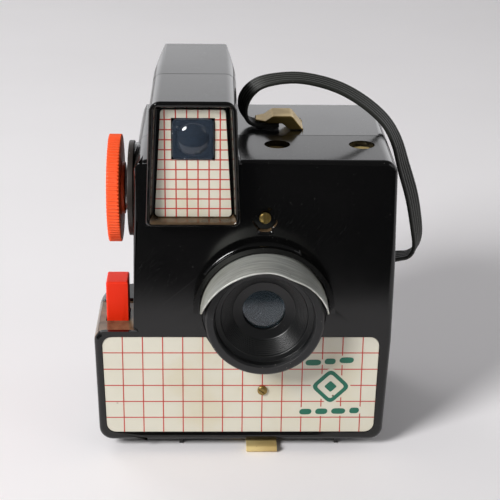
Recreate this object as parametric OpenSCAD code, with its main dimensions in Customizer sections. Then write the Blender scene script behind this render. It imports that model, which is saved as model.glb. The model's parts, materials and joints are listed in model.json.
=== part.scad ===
// Box camera for 620 roll film, with finder tower, wind knob, release button and carrying strap.
// Depths run along +Y and are counted from the front face; heights run along +Z from the table.

/* [Body] */
// Width of the body at its top, between the side walls
body_w = 77.2; // [74:0.2:84]
// Height of the body's top above the table
body_top = 96; // [92:0.5:100]
// Depth of the whole body, front face to rear wall
body_depth = 63.6; // [62:0.2:70]
// Depth at which the front moulding meets the rear cover
seam_depth = 24.4; // [24:0.2:28]
// Wall of both mouldings
wall = 1.8; // [1.6:0.1:2.2]
// Radius of the long outer edges
edge_r = 4.2; // [3:0.1:5]
// Gap under the body
ground_gap = 3; // [3:0.1:4]

/* [Foot and release button] */
// How far the foot stands out to the left of the lens axis
foot_reach = 51.8; // [50:0.2:54]
// Height of the foot's rim
foot_top = 41; // [39:0.5:43]
// Width of the button
button_w = 6.8; // [6:0.1:7]
// Depth of the button, front to back
button_d = 8.8; // [7:0.1:9]
// How far the button stands out of the foot's trough
button_h = 12.8; // [8:0.2:14]
// How far the button travels down
button_travel = 5; // [3:0.5:5]

/* [Finder tower] */
// Height of the tower's roof
tower_top = 115.2; // [112:0.2:120]
// Width of the tower at its roof
tower_w_top = 24.8; // [24:0.2:26]
// Width of the tower at its foot
tower_w_low = 27.8; // [27:0.2:29]
// How far the tower's frame stands out of the face
tower_out = 5.6; // [4.5:0.1:7]

/* [Lens] */
// Height of the lens axis
axis_z = 49.4; // [48:0.2:51]
// Radius of the barrel's front ring
barrel_r = 17.7; // [16:0.1:18]
// How far the barrel stands out of the face
barrel_out = 10.7; // [9:0.1:13]
// Radius of the clear lens opening
lens_open_r = 6.35; // [5:0.05:7]

/* [Film transport] */
// Length of a 620 spool over its flanges
spool_len = 64.5; // [64:0.1:65]
// Radius of a 620 spool's flange
spool_r = 11.4; // [11:0.1:11.5]
// Side of the square film gate
gate = 57; // [55:0.5:58]
// Radius of the wind knob
knob_r = 16.5; // [15:0.1:18]
// Number of ribs round the knob
knob_ribs = 90; // [60:1:110]
// How far the knob pulls out to free the spool
knob_pull = 4.5; // [4:0.1:4.5]

/* [Hidden] */

$fn = 64;
face_y = -22.85;                    // where the front face stands in the part's own frame
lens_x = -0.64;                     // and where the lens axis stands
back = body_depth;
floor_z = ground_gap;
half_top = body_w / 2;
half_low = half_top + 1;            // the side walls lean outwards a little on the way down
tower_x = -21.2;
tower_foot = 77.4;
plate_y = -1.5;                     // front of the small plate inside the tower's frame
spool_y = 20;
spool_z = axis_z + 31;
supply_z = axis_z - 31;
side_x = 33.6;                      // inner faces of the film carrier's side plates
side_t = 1.6;
carrier_y = 7;                      // front of the film carrier
gate_y = 57;                        // front of the film gate's frame
blade_pivot = [-13.5, 61];
lever_pivot = [-27, 39];
screw_up = 28.5;                    // face screws above and below the lens axis
button_x = -45;
button_y = 10;
rod_depth = button_y + button_d / 2;
socket_x = [3.8, 29.3];
socket_y = 15.6;
socket_r = 3.9;
strap_y = 34.5;
strap_w = 6.8;
strap_t = 1.4;
ring_x = -41;                       // outer face of the knob's base ring
hub_x = -42.2;                      // inner end of the knob's hub
window_z = 32;
eye_z = 104;
lens_seat_r = 7.5;
core_r = 4.6;                       // tube of a spool
flange_t = 0.8;
fit = 0.05;                         // gap between parts that only sit together
run = 0.08;                         // clearance round everything that turns or slides in a hole
pin_r = 1.05;                       // pins of the shutter's two levers
shaft_r = 2.4;                      // wind shaft, and the pins that hold the spools
rod_r = 1.6;
roller_r = 1.8;
roller_pin_r = 1;
roller_y = 55.2;
roller_off = 33.2;                  // rollers above and below the lens axis
shaft_end = -spool_len / 2 + knob_pull - 1.75;   // leaves the spool when the knob is pulled out
plate_corner = 3;

// x, z and turn of the strap's middle line, from under the clip over the top to the right wall
strap_route = [[5, 96.9, 0], [1, 96.9, 0], [-2, 96.9, 0], [-4.8, 98.1, 6], [-6.2, 101, 16],
    [-5.9, 104.4, 22], [-3.9, 107.6, 20], [-0.3, 110, 14], [6, 111.3, 10], [12.5, 111.3, 10],
    [20.2, 109.6, 12], [26.8, 106.8, 15], [33.3, 102.5, 18], [38.8, 97.2, 21], [42.4, 90.8, 27],
    [45, 82.6, 33], [48.2, 72.5, 35], [50.2, 62.5, 33], [50.7, 57.4, 26], [49.9, 54.2, 16],
    [47.8, 52.3, 6], [44.6, 51.8, 0], [41.8, 51, 0], [40.5, 48.4, 0], [40.4, 44.5, 0], [40.4, 41.3, 0]];

function unit(v) = v / norm(v);
function about(middle, low, high) = [middle + low, middle + high];

// Points of an outline whose corners are rounded, one radius a corner.
function rounded(p, r, steps = 6) = [for (i = [0:len(p) - 1])
    let (a = p[(i + len(p) - 1) % len(p)], b = p[i], c = p[(i + 1) % len(p)],
         u = unit(a - b), v = unit(c - b), half = acos(u * v) / 2,
         centre = b + unit(u + v) * r[i] / sin(half),
         from = b + u * r[i] / tan(half) - centre, to = b + v * r[i] / tan(half) - centre,
         a0 = atan2(from[1], from[0]), turn = (atan2(to[1], to[0]) - a0 + 540) % 360 - 180)
    each r[i] == 0 ? [b] : [for (k = [0:steps])
        centre + r[i] * [cos(a0 + turn * k / steps), sin(a0 + turn * k / steps)]]];

// Front outlines, in X and Z, drawn in by a margin.
function body_outline(m) = rounded([[-half_top + m, body_top - m], [-half_low + m, foot_top],
    [-half_low + m, floor_z + m], [half_top - 0.6 - m, floor_z + m], [half_low - 0.2 - m, 38],
    [half_low - 0.2 - m, 62], [half_top - m, body_top - m]],
    [edge_r - m, 0, edge_r - m, edge_r - m, 0, 0, edge_r - m]);
function foot_outline(m) = rounded([[-foot_reach + m, foot_top - m], [-36, foot_top - m],
    [-36, floor_z + m], [-foot_reach + 0.9 + m, floor_z + m]], [3.2 - m, 0, 0, edge_r - m]);
function tower_outline(m, low = tower_foot) = let (top = tower_w_top / 2 - m, foot = tower_w_low / 2 - m)
    rounded([[tower_x - top, tower_top - m], [tower_x + top, tower_top - m], [tower_x + foot, low],
    [tower_x - foot, low]], [3.2 - m, 3.2 - m, 1.5, 1.5]);
function finder_opening(top_half, low_half, top_z, low_z) = rounded([[tower_x - top_half, top_z],
    [tower_x + top_half, top_z], [tower_x + low_half, low_z], [tower_x - low_half, low_z]],
    [1, 1, 1.2, 1.2]);
function lower_outline(m) = rounded([[-49.3 + m, 39.1 - m], [35.8 - m, 39.1 - m], [35.2 - m, 6 + m],
    [-48.5 + m, 6 + m]], [plate_corner - m, plate_corner - m, plate_corner - m, plate_corner - m]);
function arc(c, r, a0, a1, n) = [for (i = [0:n]) c + r * [cos(a0 + (a1 - a0) * i / n),
    sin(a0 + (a1 - a0) * i / n)]];

// Placing helpers. from_face moves the lens axis and the front face to their places in the part's frame,
// whose origin is under the middle of the whole camera.
module from_face() translate([lens_x, face_y, 0]) children();
module slab(y0, y1) translate([0, y1, 0]) rotate([90, 0, 0]) linear_extrude(y1 - y0) children();
module across(x0, x1) translate([x0, 0, 0]) rotate([90, 0, 90]) linear_extrude(x1 - x0) children();
module upright(z0, z1) translate([0, 0, z0]) linear_extrude(z1 - z0) children();
module rod_y(x, z, r, y0, y1) translate([x, y0, z]) rotate([-90, 0, 0]) cylinder(h = y1 - y0, r = r);
module rod_x(y, z, r, x0, x1) translate([x0, y, z]) rotate([0, 90, 0]) cylinder(h = x1 - x0, r = r);
module rod_z(x, y, r, z0, z1) translate([x, y, z0]) cylinder(h = z1 - z0, r = r);
module turned_y(z) translate([0, 0, z]) rotate([-90, 0, 0]) rotate_extrude() children();
module block(x, y, z) translate([x[0], y[0], z[0]]) cube([x[1] - x[0], y[1] - y[0], z[1] - z[0]]);

// Tapering solid between the lens and the film, drawn out by a margin.
module light_cone(m, y0, y1) intersection() {
    across(-gate, gate) polygon([[y0, axis_z - 8 - m], [y1, axis_z - gate / 2 - m],
        [y1, axis_z + gate / 2 + m], [y0, axis_z + 8 + m]]);
    upright(0, body_top) polygon([[-8 - m, y0], [8 + m, y0], [gate / 2 + m, y1], [-gate / 2 - m, y1]]);
}

// Front moulding: face, front of the tower, foot and the boss behind the knob.
module front_shell() color("#141416") from_face() difference() {
    union() {
        difference() {
            union() {
                slab(0, seam_depth) polygon(body_outline(0));
                slab(0, seam_depth) polygon(foot_outline(0));
                slab(-1.1, 0.5) polygon(rounded([[-38, body_top - 0.6], [-7, body_top - 0.6], [-7, 76],
                    [-38, 76]], [1.6, 0.4, 2.4, 2.4]));
                slab(-tower_out, seam_depth) intersection() {
                    polygon(tower_outline(0));
                    translate([-60, tower_foot]) square([60, 60]);
                }
                intersection() {
                    rod_x(spool_y, spool_z, 14, -39.2, -36);
                    block([-50, -30], [0, seam_depth], [50, 100]);
                }
            }
            slab(2.2, seam_depth + 1) polygon(body_outline(wall));
            slab(2.2, seam_depth + 1) intersection() {
                polygon(foot_outline(wall));
                translate([-60, 0]) square([30, foot_top - 2.6]);
            }
            slab(1.3, seam_depth + 1) polygon(tower_outline(wall, body_top + wall));
            finder_recess();
        }
        slab(-5, 0.5) lens_collar(19.9, 21.3, 0);
        slab(-3, 0.5) lens_collar(18.9, 19.5, 180);
        rod_y(0, axis_z + screw_up, 5.4, 2, 3.6);
        rod_y(0, axis_z + screw_up, 3.2, 2, carrier_y - fit);
        rod_y(0, axis_z - screw_up, 3, 1, carrier_y - fit);
        for (x = [-19, 19]) rod_z(x, 12, 2.6, floor_z + 1, 9);
        block([-49.4, -40.6], [9, 20], [20.2, 22]);
        block([-49.9, -49.2], [9, 20], [8, 22]);
    }
    block([-foot_reach + 1.2, -39.6], [1.4, seam_depth + 1], [foot_top - 0.9, foot_top + 0.5]);
    rod_y(0, axis_z, 10.1, -1, 3);
    slab(-1, 1) polygon(lower_outline(-0.15));
    rod_y(0, axis_z + screw_up, 3.8, -1, 1.6);
    rod_y(0, axis_z + screw_up, 1.5, 0, 9);
    rod_y(0, axis_z - screw_up, 1.3, 0, 9);
    for (x = socket_x) rod_z(x, socket_y, socket_r, body_top - 4, body_top + 1);
    rod_x(spool_y, spool_z, 4, -45, -30);
    block(about(button_x, -button_w / 2 - 0.25, button_w / 2 + 0.25), about(button_y, -0.25, button_d + 0.25),
        [foot_top - 4, foot_top]);
    rod_z(button_x, rod_depth, rod_r + run, 18, 24);
    for (x = [-19, 19]) rod_z(x, 12, 1.1, floor_z - 1, 8);
    block(about(tower_x, -5, 5), [-1, 2], about(eye_z - 1, -5, 5));
}

// Half ring on the face round the lens; turned by 180 it is the lower, narrower one.
module lens_collar(inner, outer, turn) translate([0, axis_z]) rotate(turn) difference() {
    circle(r = outer);
    circle(r = inner);
    translate([-30, -60]) square([60, 60]);
}

// Sunk field inside the tower's frame, narrower at its floor.
module finder_recess() hull() {
    slab(-tower_out - 0.1, -tower_out) polygon(finder_opening(11.2, 12.7, tower_top - 1.6, 78.7));
    slab(-0.8, -0.7) polygon(finder_opening(9.7, 11.7, tower_top - 2.8, 79));
}

// Outer or inner solid of the rear moulding's box, drawn in by a margin.
module cover_box(m) intersection() {
    slab(seam_depth, back - m) polygon(body_outline(m));
    upright(0, body_top) polygon(rounded([[-half_low + m, seam_depth - 1], [half_low - m, seam_depth - 1],
        [half_top - 0.6 - m, back - m], [-half_top + 0.6 + m, back - m]], [0, 0, 5 - m, 5 - m]));
    across(-60, 60) polygon(rounded([[seam_depth - 1, floor_z + m], [seam_depth - 1, body_top - m],
        [back - m, body_top - 1 - m], [back - m, floor_z + 1 + m]], [0, 0, 3.6 - m, 3.6 - m]));
}

// The rear half of the tower, which narrows towards the eyepiece.
module cover_tower(m, low) intersection() {
    slab(seam_depth, back - m) polygon(tower_outline(m, low));
    upright(low, tower_top) polygon(rounded([[tower_x - 13.4 + m, seam_depth - 1],
        [tower_x + 13.4 - m, seam_depth - 1], [tower_x + 9.9 - m, back - m],
        [tower_x - 9.9 + m, back - m]], [0, 0, 2.4 - m, 2.4 - m]));
    across(-60, 60) polygon(rounded([[seam_depth - 1, 60], [seam_depth - 1, tower_top - m],
        [back - m, tower_top - m], [back - m, 60]], [0, 0, 2.4 - m, 0]));
}

// The short rounded tail of the foot, behind the seam.
module cover_foot(m) intersection() {
    slab(seam_depth, seam_depth + 13) polygon(foot_outline(m));
    upright(0, foot_top) polygon(concat([[-36, seam_depth - 1]], [[-foot_reach + m, seam_depth - 1]],
        arc([-foot_reach + 12.5, seam_depth], 12.5 - m, 180, 90, 10), [[-36, seam_depth + 12.5 - m]]));
}

// Rear moulding, which comes off backwards to load the film.
module rear_cover() color("#141416") from_face() difference() {
    union() {
        difference() {
            union() {
                cover_box(0);
                cover_tower(0, 88);
                cover_foot(0);
            }
            cover_box(wall);
            cover_tower(wall, body_top + wall);
            intersection() {
                cover_foot(wall);
                block([-60, -30], [seam_depth - 1, back], [0, foot_top - 2.6]);
            }
        }
        for (x = [-22, 22]) rod_z(x, 56, 3, 0, floor_z + 1);
        block([-3, 3.5], [24.9, 26.4], [0.8, floor_z + 0.5]);
        slab(back - wall - 0.6, back - wall + 0.1) difference() {
            translate([0, window_z]) circle(r = 8);
            translate([0, window_z]) circle(r = 6.2);
        }
        slab(back - 0.5, back + 0.6) difference() {
            polygon(finder_opening(6.6, 6.6, eye_z + 6.6, eye_z - 6.6));
            translate([tower_x - 5, eye_z - 5]) square(10);
        }
    }
    rod_y(0, window_z, 4.6, back - 5, back + 2);
    rod_y(0, window_z, 6.2, back - wall - 1, back - wall + 0.4);
    block(about(tower_x, -4, 4), [back - 5, back + 2], about(eye_z, -4, 4));
    block(about(tower_x, -5, 5), [back - 0.9, back + 2], about(eye_z, -5, 5));
    rod_x(strap_y, 44.5, 1.05, 34, 42);
}

module lower_face_plate() color("#dcd9c6") from_face() difference() {
    slab(0.2, 1 - fit) polygon(lower_outline(0));
    rod_y(0, axis_z, 19.8, -1, 2);
    rod_y(0, axis_z - screw_up, 1.4, -1, 2);
}

module finder_face_plate() color("#dcd9c6") from_face() difference() {
    slab(plate_y, -0.7 - fit) polygon(finder_opening(9.3, 11.3, tower_top - 3.4, 79.2));
    block(about(tower_x, -6.3, 6.3), [-3, 0], about(eye_z - 1, -6.3, 6.3));
}

// Square clear block with a round bulge, set in the small plate.
module finder_front_lens() color("#8fa0ac") from_face() union() {
    block(about(tower_x, -6.2, 6.2), [-2.3, -0.7 - fit], about(eye_z - 1, -6.2, 6.2));
    block(about(tower_x, -4.9, 4.9), [-0.8, 0.8], about(eye_z - 1, -4.9, 4.9));
    intersection() {
        translate([tower_x, 7, eye_z - 1]) sphere(r = 10.6);
        block(about(tower_x, -5, 5), [-4, -2.2], about(eye_z - 1, -5, 5));
    }
}

module finder_eye_lens() color("#8fa0ac") from_face()
    block(about(tower_x, -4.9, 4.9), [back - 0.85, back + 0.3], about(eye_z, -4.9, 4.9));

// Black barrel: front ring, stepped throat and the spigot behind the face.
module lens_barrel() color("#1b1b1d") from_face() turned_y(axis_z) polygon(concat(
    [[18.6, -0.02], [18.6, -3.4], [barrel_r + 0.15, -3.4], [barrel_r, -barrel_out + 0.4],
     [barrel_r - 0.4, -barrel_out], [15.3, -barrel_out], [14.9, -barrel_out + 1], [14.7, -7.9],
     [13, -7.6]],
    [for (i = [0:6]) each [[13 - 0.5 * i, -7.2 + 0.6 * i], [12.7 - 0.5 * i, -6.9 + 0.6 * i]]],
    [[9.4, -2.6], [lens_open_r, -2.4], [lens_open_r, -1.4], [lens_seat_r, -1.4],
     [lens_seat_r, 4], [10, 4], [10, -0.02]]));

// Bright sheet visor over the barrel; its front edge sweeps back to nothing at both ends.
module lens_brow() color("#b9bab6") from_face() intersection() {
    slab(-20, -0.1) difference() {
        translate([0, axis_z]) circle(r = 19.3);
        translate([0, axis_z]) circle(r = 18.75);
        translate([-30, -30]) square([60, 30 + axis_z]);
    }
    across(-30, 30) union() {
        translate([-0.5, 67]) circle(r = 18);
        translate([-3, 0]) square([3, 90]);
    }
}

module meniscus_lens() color("#7d8f92") from_face() turned_y(axis_z)
    polygon(concat([[0, 1.1], [7.4, 1.1]], [[7.4, -1.2]],
        [for (i = [1:8]) [7.4 * (1 - i / 8), -1.2 - 0.35 * sin(90 * i / 8)]]));

module lens_retainer() color("#8d8f90") from_face() turned_y(axis_z)
    polygon([[5.6, 1.2], [7.4, 1.2], [7.4, 2.4], [6, 2.4]]);

module aperture_plate() color("#55575a") from_face() difference() {
    rod_y(0, axis_z, 7.4, 2.6, 3.2);
    rod_y(0, axis_z, 3.1, 2, 4);
}

module shutter_base_plate() color("#8d8f90") from_face() difference() {
    slab(6.2, 6.8) polygon(rounded([[-31, 34], [20, 34], [20, 71], [-31, 71]], [3, 3, 3, 3]));
    rod_y(0, axis_z, 5.2, 5, 8);
    rod_y(blade_pivot[0], blade_pivot[1], pin_r + fit, 5, 8);
    rod_y(lever_pivot[0], lever_pivot[1], pin_r + fit, 5, 8);
}

// Shouldered pins on which the blade and the trip lever turn.
module shutter_pivots() color("#c9a24a") from_face() for (p = [blade_pivot, lever_pivot]) {
    rod_y(p[0], p[1], pin_r, 4, 6.8);
    rod_y(p[0], p[1], 1.9, 3.4, 4);
    rod_y(p[0], p[1], 1.6, 5.85, 6.15);
}

module shutter_blade() color("#6b6d70") from_face() difference() {
    slab(5.4, 5.75) difference() {
        union() {
            translate([0, axis_z]) circle(r = 6.4);
            translate(blade_pivot) circle(r = 3);
            polygon([[-15.6, 58.9], [-4.5, axis_z - 2], [2, axis_z + 6], [-11.6, 63.2]]);
        }
    }
    rod_y(blade_pivot[0], blade_pivot[1], pin_r + run, 5, 6);
}

// Bell crank between the button and the blade.
module trip_lever() color("#8d8f90") from_face() difference() {
    slab(4.5, 5.1) union() {
        translate(lever_pivot) circle(r = 2.8);
        polygon([[-45.6, 35.6], [-45.6, 33.2], [-28, 36.6], [-26.5, 41]]);
        polygon([[-29.4, 40], [-24.5, 38.2], [-20.4, 52], [-22, 52.6]]);
    }
    rod_y(lever_pivot[0], lever_pivot[1], pin_r + run, 4, 6);
}

module shutter_spring() color("#9b9da0") from_face() slab(5.2, 5.5) difference() {
    polygon(concat(arc(lever_pivot, 4.4, -60, 120, 16), arc(lever_pivot, 3.9, 120, -60, 16)));
    translate(lever_pivot) circle(r = 3.85);
}

module release_button() color("#e8370f") from_face() difference() {
    union() {
        block(about(button_x, -button_w / 2, button_w / 2), about(button_y, 0, button_d),
            [34, foot_top - 0.8 + button_h]);
        block(about(button_x, -0.9, 0.9), [4.3, button_y + 1], [36.2, 38]);
    }
    rod_z(button_x, rod_depth, rod_r + fit, 33, 40);
}

module release_rod() color("#a9abad") from_face()
    rod_z(button_x, rod_depth, rod_r, floor_z + wall + button_travel + 3.2, 39.9);

// Compression spring round the rod, between the guide and the button.
module release_spring() color("#9b9da0") from_face() translate([button_x, rod_depth, 22.6])
    tube([for (i = [0:72]) [2.6 * cos(30 * i), 2.6 * sin(30 * i), 10.8 * i / 72]], 0.32, 6);

// Inner moulding: front plate, sides that carry the spools, light cone and film gate.
module film_carrier() color("#232325") from_face() difference() {
    union() {
        block([-side_x - side_t, side_x + side_t], [carrier_y, carrier_y + 1.2], [7.5, 92]);
        for (s = [-1, 1]) block(s < 0 ? [-side_x - side_t, -side_x] : [side_x, side_x + side_t],
            [carrier_y, gate_y + 1.2], [7.5, 92]);
        light_cone(1.2, carrier_y, gate_y);
        block([-side_x - side_t, side_x + side_t], [gate_y, gate_y + 1.2], about(axis_z, -30.6, 30.6));
    }
    light_cone(0, carrier_y - 0.5, gate_y + 0.1);
    block([-gate / 2, gate / 2], [gate_y - 1, gate_y + 2], about(axis_z, -gate / 2, gate / 2));
    rod_y(0, axis_z + screw_up, 1.15, 6, 9);
    rod_y(0, axis_z - screw_up, 1.15, 6, 9);
    rod_x(spool_y, spool_z, 3.9, -40, -30);
    rod_x(spool_y, spool_z, shaft_r + fit, 30, 40);
    for (z = about(axis_z, -roller_off, roller_off)) rod_x(roller_y, z, roller_pin_r + run, -40, 40);
    rod_x(spool_y, supply_z, shaft_r + fit, -40, 40);
}

// Three fixed pins that hold the spools' free ends.
module spool_pivots() color("#a9abad") from_face() {
    spool_pivot(spool_z);
    spool_pivot(supply_z);
    mirror([1, 0, 0]) spool_pivot(supply_z);
}

module spool_pivot(z) {
    rod_x(spool_y, z, shaft_r, 28.5, 35.5);
    rod_x(spool_y, z, 4, 35.25, 35.9);
}

// 620 spool: thin tube, two flanges, a slit for the paper and a key slot at its left end.
module spool(z) from_face() difference() {
    union() {
        rod_x(spool_y, z, core_r, -spool_len / 2, spool_len / 2);
        for (x = [-spool_len / 2, spool_len / 2 - flange_t]) rod_x(spool_y, z, spool_r, x, x + flange_t);
    }
    rod_x(spool_y, z, core_r - 0.6, -spool_len / 2 + 3, spool_len / 2 - 3);
    rod_x(spool_y, z, shaft_r + run, -40, 40);
    block([-24, 24], [spool_y - 6, spool_y], about(z, -0.5, 0.5));
    block([-spool_len / 2 - 1, -spool_len / 2 + 2], about(spool_y, -3.8, 3.8), about(z, -0.7, 0.7));
}
module take_up_spool() color("#3d3f42") spool(spool_z);
module supply_spool() color("#3d3f42") spool(supply_z);

module film_roller(z) from_face() {
    rod_x(roller_y, z, roller_r, -side_x + 0.4, side_x - 0.4);
    rod_x(roller_y, z, roller_pin_r, -side_x - side_t, side_x + side_t);
}
module film_roller_upper() color("#b5b7b9") film_roller(axis_z + roller_off);
module film_roller_lower() color("#b5b7b9") film_roller(axis_z - roller_off);

module pressure_plate() color("#4a4c4f") from_face() difference() {
    slab(59.1, 59.8) polygon(rounded([[-31, axis_z - 31], [31, axis_z - 31], [31, axis_z + 31],
        [-31, axis_z + 31]], [2, 2, 2, 2]));
    rod_y(0, window_z, 6.4, 58, 61);
}

// Two bowed leaves between the pressure plate and the rear wall.
module pressure_springs() color("#9b9da0") from_face() for (x = [-20, 20])
    across(x - 2.5, x + 2.5) polygon(concat(
        [for (i = [0:12]) [61.7 - 1.6 * sin(180 * i / 12), 35 + 32 * i / 12]],
        [for (i = [12:-1:0]) [61.4 - 1.55 * sin(180 * i / 12), 35 + 32 * i / 12]]));

// Round black bearing plate between the knob and the side wall.
module knob_base() color("#26221f") from_face() difference() {
    rod_x(spool_y, spool_z, 14.6, ring_x, -39.3);
    rod_x(spool_y, spool_z, shaft_r + run, -45, -30);
    rod_x(spool_y, spool_z, 3.5, -40.1, -39);
}

module knob_washer() color("#d6d8da") from_face() difference() {
    rod_x(spool_y, spool_z, 6.9, hub_x + fit, ring_x - fit);
    rod_x(spool_y, spool_z, shaft_r + run, -45, -30);
}

// Ribbed knob with a dished face and a hub.
module wind_knob() color("#e2492b") from_face() difference() {
    union() {
        across(-47.2, -43.2) polygon([for (i = [0:2 * knob_ribs - 1])
            [spool_y, spool_z] + (knob_r - (i % 2) * 0.3) * [cos(180 * i / knob_ribs),
                sin(180 * i / knob_ribs)]]);
        rod_x(spool_y, spool_z, 8, -43.3, hub_x);
    }
    rod_x(spool_y, spool_z, 13, -48, -46.6);
    rod_x(spool_y, spool_z, shaft_r + fit, -45.6, -40);
}

module wind_shaft() color("#c4c6c8") from_face() {
    rod_x(spool_y, spool_z, shaft_r, -45.5, shaft_end);
    block([-31.6, -30.6], about(spool_y, -3.5, 3.5), about(spool_z, -0.5, 0.5));
}

// Open spring clip in the bearing plate that stops the knob from turning back.
module clutch_spring() color("#9b9da0") from_face() across(-40, -39.4) translate([spool_y, spool_z])
    difference() {
        circle(r = 3.4);
        circle(r = 2.75);
        translate([0, -0.6]) square([5, 1.2]);
    }

module red_window() color("#a01012") from_face() rod_y(0, window_z, 6.1, back - wall - 0.5,
    back - wall + 0.35);

// Dished brass cups that take the flash gun's plug.
module flash_sockets() color("#b98a35") from_face() for (x = socket_x) translate([x, socket_y, 0])
    rotate_extrude() polygon([[0, 93.2], [4.9, 93.2], [4.9, 94.1], [3.5, 94.1], [1.9, 93.6],
        [1.6, 94], [0, 94.1]]);

module flash_strips() color("#c9a24a") from_face() for (x = socket_x) {
    block([x - 2, x + 2], [3.6, 19], [92.75, 93.15]);
    block([x - 2, x + 2], [3.2, 3.6], [x > 10 ? 64 : 84, 93.15]);
}

// Slotted brass screws through the face into the film carrier.
module face_screws() color("#b99d4f") from_face() {
    face_screw(axis_z + screw_up, [0.1, 1.55], 1.8, 70);
    face_screw(axis_z - screw_up, [-0.9, 0.15], 1.55, 35);
}
module face_screw(z, head_y, head_r, slot_turn) difference() {
    union() {
        rod_y(0, z, head_r, head_y[0], head_y[1]);
        rod_y(0, z, 1.1, head_y[1] - 0.1, 8.2);
    }
    translate([0, head_y[0] - 0.5, z]) rotate([0, slot_turn, 0]) cube([5, 2, 0.5], center = true);
}

// Pressed steel plate under the front moulding, on which the camera stands.
module base_plate() color("#1a1a1b") from_face() difference() {
    union() {
        block([-26, 24.5], [3.5, 21], [2.1, floor_z - fit]);
        for (x = [-26, 23.3]) block([x, x + 1.2], [3.5, 21], [0, 2.5]);
    }
    for (x = [-19, 19]) rod_z(x, 12, 1.1, 0, 4);
}

module base_screws() color("#8d8f90") from_face() for (x = [-19, 19]) difference() {
    union() {
        rod_z(x, 12, 2.2, 1.1, 2.05);
        rod_z(x, 12, 1, 2, 7);
    }
    block([x - 3, x + 3], [11.7, 12.3], [0.9, 1.6]);
}

// Sliding latch: folded finger tab in front, hook behind the rear cover's lug.
module bottom_latch() color("#b5a468") from_face() difference() {
    union() {
        block([-4.85, 4.85], [-1.8, 6], [0.9, 1.7]);
        intersection() {
            across(-4.85, 4.85) polygon(rounded([[-2.8, 0.15], [-2.8, 2.15], [-0.6, 2.15], [-0.6, 0.15]],
                [0.9, 0.9, 0.4, 0.4]));
            block([-5, 5], [-3, 0], [0, 3]);
        }
        block([-12, 8], [6, 19], [0.9, 1.7]);
        block([4, 8], [18, 28.5], [0.9, 1.7]);
        block([-1, 8], [26.8, 28.5], [0.9, 1.7]);
    }
    for (y = [9.5, 15.5]) block([-6, 2], about(y, -1.1, 1.1), [0, 3]);
}

module latch_rivets() color("#8d8f90") from_face() for (y = [9.5, 15.5]) {
    rod_z(1, y, 0.8, 0.8, 2.05);
    rod_z(1, y, 1.7, 0.3, 0.8);
}

// Smooth curve through the route's points, four steps between each pair.
function bend(p, i, t) =
    let (a = p[max(i - 1, 0)], b = p[i], c = p[i + 1], d = p[min(i + 2, len(p) - 1)])
    0.5 * (2 * b + (c - a) * t + (2 * a - 5 * b + 4 * c - d) * t * t + (3 * b - a - 3 * c + d) * t * t * t);
strap_line = [for (i = [0:len(strap_route) - 2]) each [for (k = [0:2]) bend(strap_route, i, k / 3)],
    strap_route[len(strap_route) - 1]];
function strap_ring(i) = let (p = strap_line[i], a = strap_line[max(i - 1, 0)],
    b = strap_line[min(i + 1, len(strap_line) - 1)], d = unit([b[0] - a[0], b[1] - a[1]]),
    n = [-d[1], 0, d[0]], across = [0, 1, 0], w = cos(p[2]) * across + sin(p[2]) * n,
    u = cos(p[2]) * n - sin(p[2]) * across, c = [p[0], strap_y, p[1]])
    [for (k = [[-1, -1], [1, -1], [1, 1], [-1, 1]]) c + k[0] * w * strap_w / 2 + k[1] * u * strap_t / 2];

// Closed skin over rings of points that all have the same count.
module skin(rings) let (n = len(rings[0]), last = len(rings) - 1)
    polyhedron([for (r = rings) each r], concat([[for (k = [0:n - 1]) k]],
        [for (i = [0:last - 1], k = [0:n - 1]) let (a = i * n, b = a + n, next = (k + 1) % n)
            each [[a + k, b + k, b + next], [a + k, b + next, a + next]]],
        [[for (k = [n - 1:-1:0]) last * n + k]]), convexity = 8);

// Round wire along points, with a few sides.
module tube(p, r, n) skin([for (i = [0:len(p) - 1])
    let (d = unit(p[min(i + 1, len(p) - 1)] - p[max(i - 1, 0)]), u = unit(cross(d, [0.02, 0.01, 1])),
        w = cross(d, u)) [for (k = [0:n - 1]) p[i] + r * (cos(360 * k / n) * u + sin(360 * k / n) * w)]]);

module strap() color("#23251f") from_face() difference() {
    skin([for (i = [0:len(strap_line) - 1]) strap_ring(i)]);
    rod_x(strap_y, 44.5, 1.1, 39, 42);
}

// Brass saddle on the rear cover's roof that holds the strap's upper end.
module strap_clip() color("#a8925a") from_face() translate([0, 0, body_top + fit]) intersection() {
    slab(30, 39.2) polygon(rounded([[-2.4, 1.9], [-2.4, 2.6], [0.6, 2.6], [3, 4.3], [9, 4.3], [12, 0.5],
        [12.6, 0], [8.4, 0], [5.9, 1.9]], [0.2, 0.2, 1, 1.6, 1.6, 0.2, 0, 0, 1]));
    upright(0, 5) polygon(rounded([[-2.4, 32.4], [1, 30], [12.6, 30], [12.6, 39.2], [1, 39.2],
        [-2.4, 36.8]], [0.5, 2, 1, 1, 2, 0.5]));
}

module strap_anchor() color("#a8925a") from_face() difference() {
    block([41.2, 41.8], about(strap_y, -3.6, 3.6), [41.6, 47.4]);
    rod_x(strap_y, 44.5, 1.05, 34, 46);
}

module strap_rivet() color("#a8925a") from_face() {
    rod_x(strap_y, 44.5, 1, 38, 41.9);
    rod_x(strap_y, 44.5, 2, 41.85, 42.6);
}

front_shell();
rear_cover();
lower_face_plate();
finder_face_plate();
finder_front_lens();
finder_eye_lens();
lens_barrel();
lens_brow();
meniscus_lens();
lens_retainer();
aperture_plate();
shutter_base_plate();
shutter_pivots();
shutter_blade();
trip_lever();
shutter_spring();
release_button();
release_rod();
release_spring();
film_carrier();
spool_pivots();
take_up_spool();
supply_spool();
film_roller_upper();
film_roller_lower();
pressure_plate();
pressure_springs();
knob_base();
knob_washer();
wind_knob();
wind_shaft();
clutch_spring();
red_window();
flash_sockets();
flash_strips();
face_screws();
base_plate();
base_screws();
bottom_latch();
latch_rivets();
strap();
strap_clip();
strap_anchor();
strap_rivet();
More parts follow.
